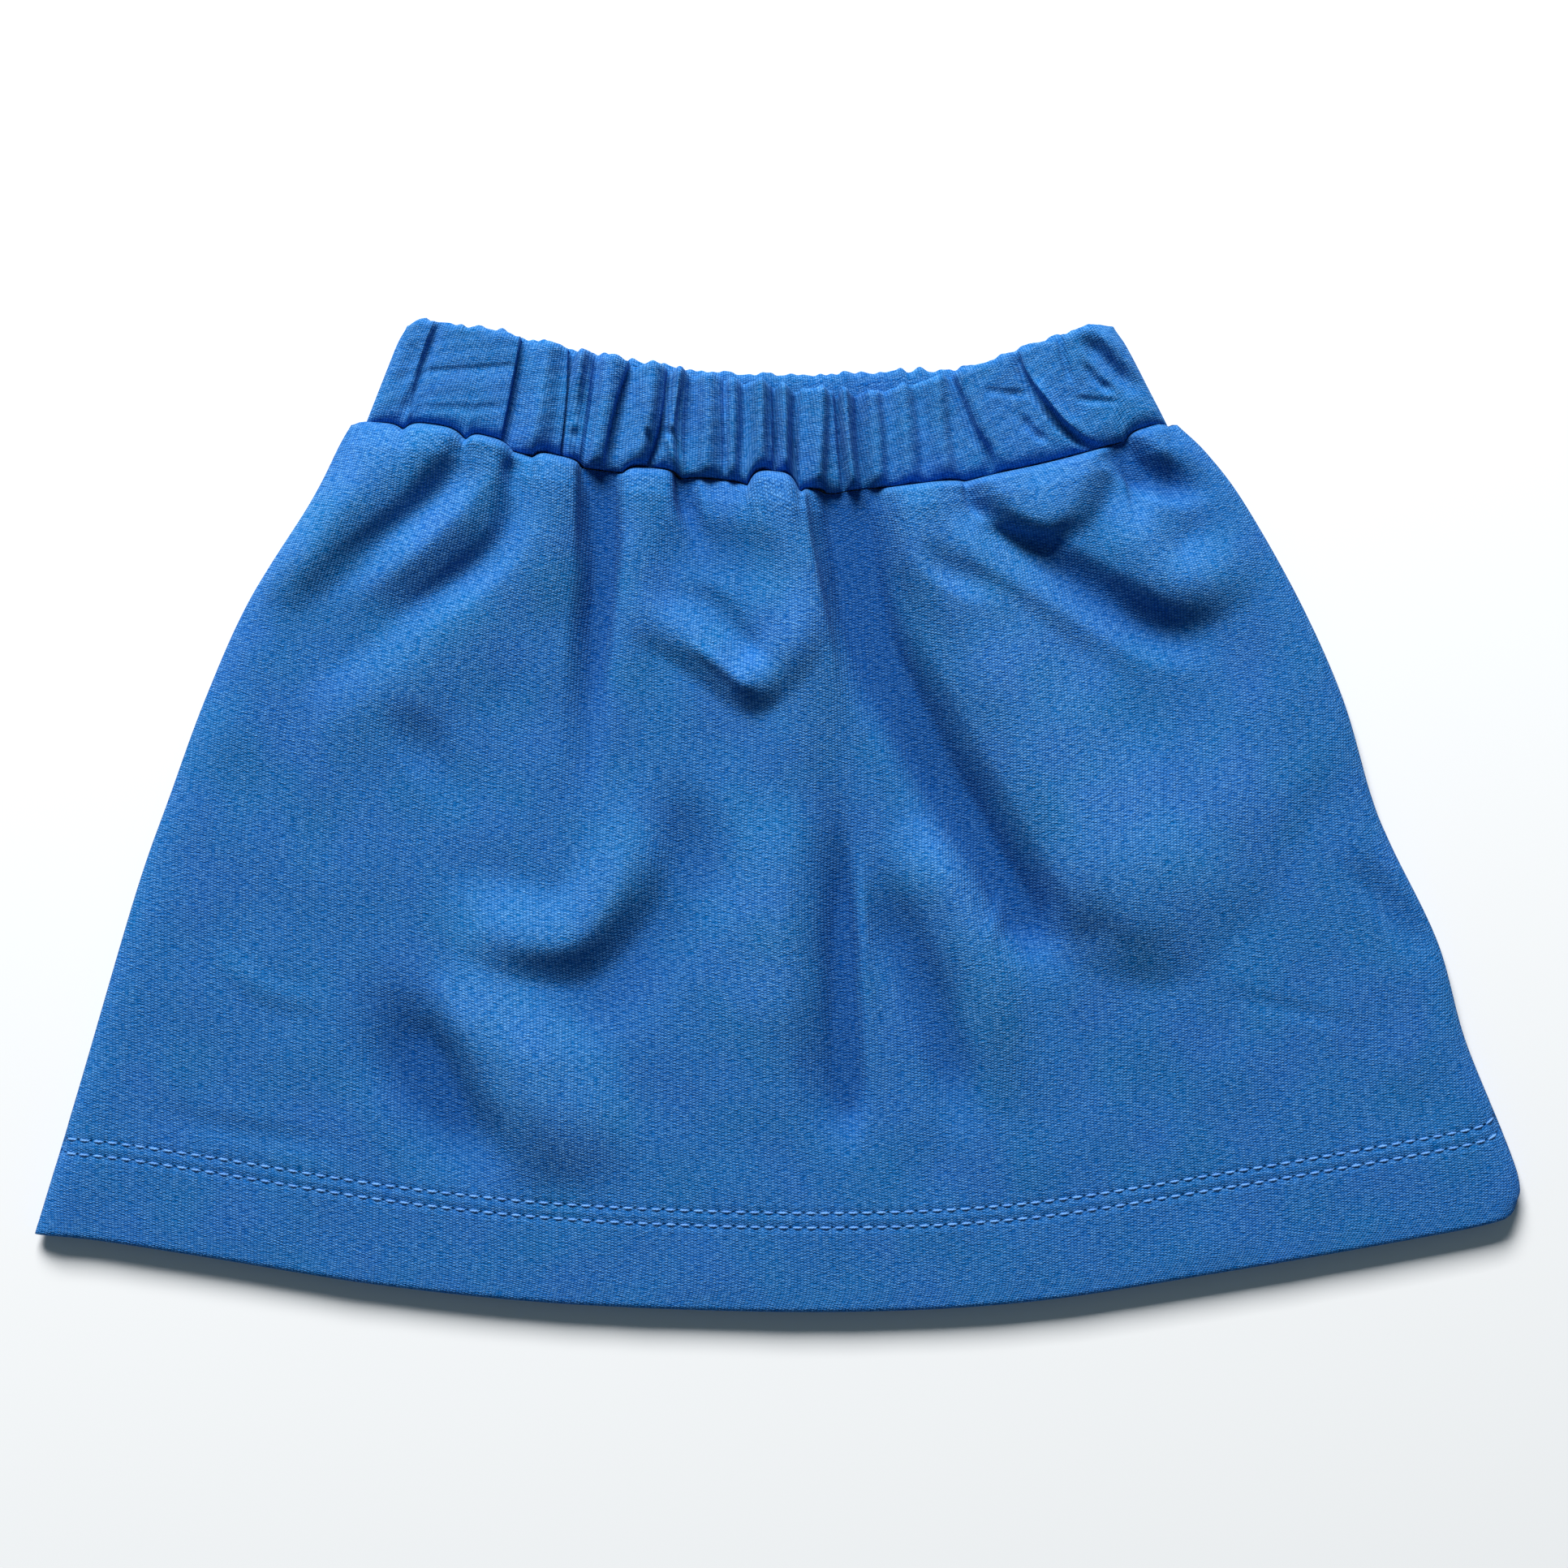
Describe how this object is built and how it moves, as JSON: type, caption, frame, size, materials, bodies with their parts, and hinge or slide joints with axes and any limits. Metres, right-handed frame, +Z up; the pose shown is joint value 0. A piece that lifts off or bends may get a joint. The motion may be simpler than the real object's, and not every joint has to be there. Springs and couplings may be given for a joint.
{
  "type": "toddler skirt",
  "caption": "Child's plain pull-on skirt of sweat jersey, laid flat, with a gathered elastic waistband, flared panels and a deep twin-stitched hem.",
  "frame": {"origin": "middle of the laid-out skirt's footprint, on the surface that it lies on", "axes": "+Z up from that surface, out of the skirt's front; +Y towards the waist; +X across, to the viewer's right"},
  "size_m": [0.3746, 0.2506, 0.0148],
  "materials": {
    "panel_jersey": "matt mid-blue cotton sweat jersey with a fine vertical rib of knit stitches and a little nap",
    "waistband_jersey": "the same jersey, gathered on an elastic",
    "hem_thread": "smooth sewing thread, a shade lighter than the cloth"
  },
  "bodies": {
    "root": {"front_panel": "panel_jersey", "back_panel": "panel_jersey", "waistband_front": "waistband_jersey", "waistband_back": "waistband_jersey"}
  },
  "joints": []
}
